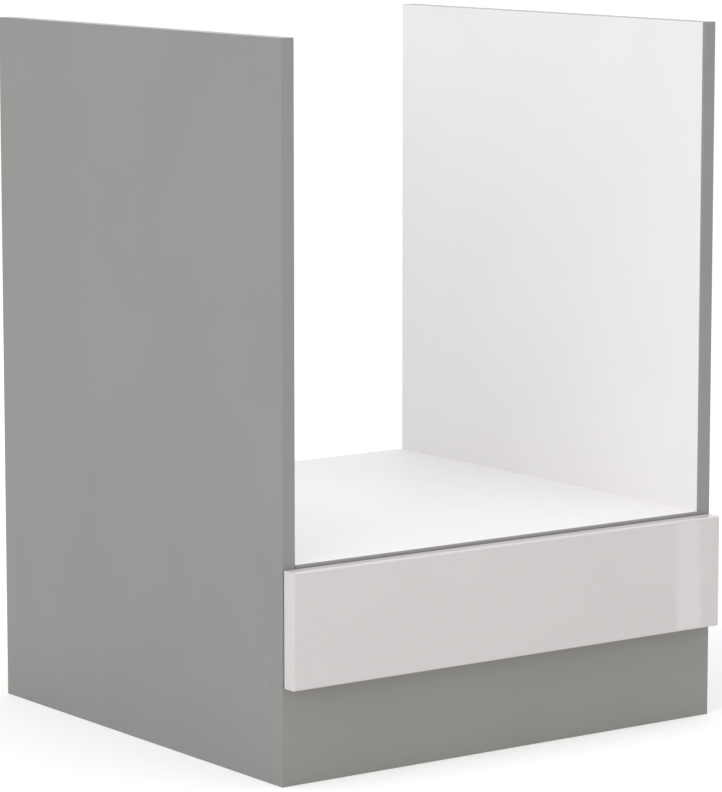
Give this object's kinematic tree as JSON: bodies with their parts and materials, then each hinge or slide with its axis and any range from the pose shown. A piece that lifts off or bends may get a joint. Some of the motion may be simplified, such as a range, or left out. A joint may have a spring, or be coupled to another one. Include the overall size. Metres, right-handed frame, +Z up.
{
  "type": "oven housing unit",
  "caption": "Built-under oven housing unit: side panels, an open oven niche over a full-depth shelf, a shallow drawer on roller runners, and a plinth.",
  "frame": {"origin": "on the floor, under the middle of the whole unit with its drawer front", "axes": "+X to the right seen from the front, +Y to the back, +Z up; the drawer opens along -Y"},
  "size_m": [0.6, 0.59, 0.8],
  "materials": {
    "grey_board": "melamine-faced chipboard, satin grey outside and white inside",
    "grey_edging": "grey edging, satin",
    "white_board": "melamine-faced chipboard, satin white",
    "plinth_board": "melamine-faced chipboard, satin grey",
    "gloss_front": "fibreboard in a pale gloss foil",
    "hardboard": "white-faced hardboard",
    "beech": "turned beech",
    "white_steel": "powder-coated steel sheet",
    "zinc_steel": "zinc-plated steel",
    "zinc_alloy": "die-cast zinc alloy",
    "nylon": "moulded nylon",
    "white_plastic": "moulded plastic",
    "clear_rubber": "soft translucent rubber"
  },
  "bodies": {
    "cabinet": {"left_side_panel": "grey_board", "right_side_panel": "grey_board", "left_side_edging": "grey_edging", "right_side_edging": "grey_edging", "oven_shelf": "white_board", "shelf_edging": "grey_edging", "bottom_panel": "white_board", "plinth_board": "plinth_board", "back_panel": "hardboard", "back_panel_screws": "zinc_steel", "cam_discs": "zinc_alloy", "cam_bolts": "zinc_steel", "dowels": "beech", "plinth_corner_blocks": "white_plastic", "corner_block_screws": "zinc_steel", "left_cabinet_runner": "white_steel", "right_cabinet_runner": "white_steel", "cabinet_runner_screws": "zinc_steel", "cabinet_roller_pins": "zinc_steel"},
    "drawer": {"drawer_front": "gloss_front", "left_drawer_side": "white_steel", "right_drawer_side": "white_steel", "drawer_base": "white_board", "drawer_back": "white_board", "left_front_bracket": "zinc_steel", "right_front_bracket": "zinc_steel", "front_bracket_screws": "zinc_steel", "drawer_base_screws": "zinc_steel", "drawer_back_screws": "zinc_steel", "drawer_roller_pins": "zinc_steel", "front_bumpers": "clear_rubber"},
    "left_front_roller": {"left_front_roller": "nylon"},
    "right_front_roller": {"right_front_roller": "nylon"},
    "left_rear_roller": {"left_rear_roller": "nylon"},
    "right_rear_roller": {"right_rear_roller": "nylon"}
  },
  "joints": [
    {"name": "drawer_slide", "type": "slide", "parent": "cabinet", "child": "drawer", "axis": [0, -1, 0], "range_m": [0, 0.385]},
    {"name": "left_front_roller_spin", "type": "hinge", "parent": "cabinet", "child": "left_front_roller", "pos_m": [-0.2756, -0.258, 0.1337], "axis": [1, 0, 0], "range_deg": [0, 2006]},
    {"name": "right_front_roller_spin", "type": "hinge", "parent": "cabinet", "child": "right_front_roller", "pos_m": [0.2756, -0.258, 0.1337], "axis": [1, 0, 0], "range_deg": [0, 2006]},
    {"name": "left_rear_roller_spin", "type": "hinge", "parent": "drawer", "child": "left_rear_roller", "pos_m": [-0.2756, 0.202, 0.1315], "axis": [1, 0, 0], "range_deg": [0, 2206]},
    {"name": "right_rear_roller_spin", "type": "hinge", "parent": "drawer", "child": "right_rear_roller", "pos_m": [0.2756, 0.202, 0.1315], "axis": [1, 0, 0], "range_deg": [0, 2206]}
  ],
  "couplings": [
    {"joint": "left_front_roller_spin", "follows": "drawer_slide", "rad_per_m": 90.909},
    {"joint": "right_front_roller_spin", "follows": "drawer_slide", "rad_per_m": 90.909},
    {"joint": "left_rear_roller_spin", "follows": "drawer_slide", "rad_per_m": 100},
    {"joint": "right_rear_roller_spin", "follows": "drawer_slide", "rad_per_m": 100}
  ]
}
